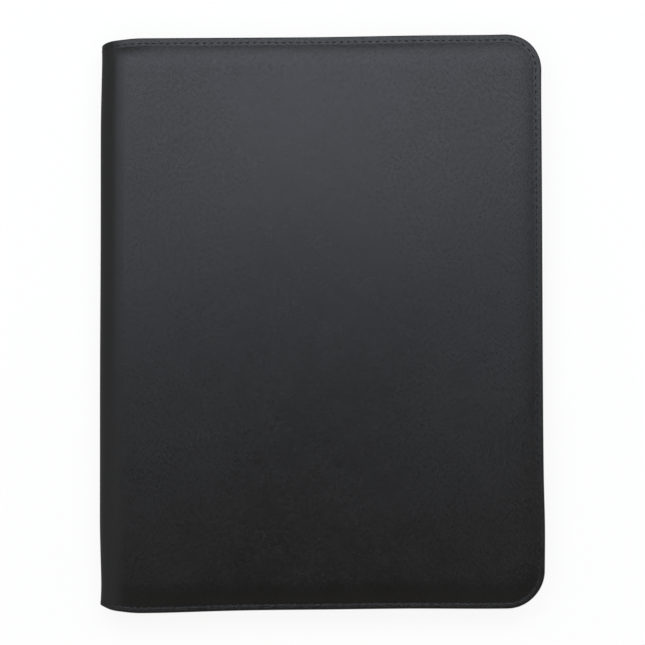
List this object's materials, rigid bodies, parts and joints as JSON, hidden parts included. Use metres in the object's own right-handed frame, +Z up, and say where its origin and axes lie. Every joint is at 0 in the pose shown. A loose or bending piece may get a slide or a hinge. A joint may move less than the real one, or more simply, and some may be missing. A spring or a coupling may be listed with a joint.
{
  "type": "zippered padfolio",
  "caption": "Padded leather folder with a rounded spine, a zip round the three free sides, a writing pad, pockets and a pen loop inside; the front cover swings open flat.",
  "frame": {"origin": "under the middle of the closed case, on the surface that its back cover lies on", "axes": "+X from the spine to the free edge, +Y along the spine, +Z up through the front cover"},
  "size_m": [0.262, 0.34, 0.026],
  "materials": {
    "cover_leather": "fine-grained black coated leather, satin",
    "padding_foam": "open-cell foam sheet",
    "stiff_board": "grey bookbinder's board",
    "lining_cloth": "black twill lining",
    "pocket_leather": "thin black coated leather",
    "zip_tape": "black woven zip tape",
    "zip_teeth": "black moulded teeth",
    "zip_metal": "gunmetal plated zinc",
    "elastic_web": "black elastic webbing",
    "pad_paper": "ruled writing paper",
    "pad_card": "brown backing card",
    "pad_strip": "dark gummed binding strip"
  },
  "bodies": {
    "back_cover": {"back_skin": "cover_leather", "back_foam": "padding_foam", "back_board": "stiff_board", "back_lining": "lining_cloth", "pad_pocket": "pocket_leather", "pad_backing": "pad_card", "pad_sheets": "pad_paper", "pad_binding": "pad_strip", "lower_zip_tape": "zip_tape", "lower_zip_teeth": "zip_teeth", "lower_zip_stops": "zip_metal"},
    "spine": {"spine_skin": "cover_leather", "spine_foam": "padding_foam", "spine_board": "stiff_board", "spine_lining": "lining_cloth", "pen_loop": "elastic_web"},
    "front_cover": {"front_skin": "cover_leather", "front_foam": "padding_foam", "front_board": "stiff_board", "front_lining": "lining_cloth", "document_pocket": "pocket_leather", "card_pocket_upper": "pocket_leather", "card_pocket_middle": "pocket_leather", "card_pocket_lower": "pocket_leather", "upper_zip_tape": "zip_tape", "upper_zip_teeth": "zip_teeth", "upper_zip_stops": "zip_metal"},
    "zip_slider": {"slider_body": "zip_metal", "slider_cap": "zip_metal"},
    "zip_pull": {"pull_tab": "zip_metal"}
  },
  "joints": [
    {"name": "spine_hinge", "type": "hinge", "parent": "back_cover", "child": "spine", "pos_m": [-0.12864, 0, 0.00236], "axis": [0, -1, 0], "range_deg": [0, 90]},
    {"name": "cover_hinge", "type": "hinge", "parent": "spine", "child": "front_cover", "pos_m": [-0.12864, 0, 0.02364], "axis": [0, -1, 0], "range_deg": [0, 90]},
    {"name": "slider_slide", "type": "slide", "parent": "back_cover", "child": "zip_slider", "axis": [1, 0, 0], "range_m": [0, 0.2]},
    {"name": "pull_swing", "type": "hinge", "parent": "zip_slider", "child": "zip_pull", "pos_m": [-0.0974, -0.16735, 0.013], "axis": [0, 0, -1], "range_deg": [0, 170]}
  ],
  "couplings": [
    {"joint": "cover_hinge", "follows": "spine_hinge", "ratio": 1}
  ]
}
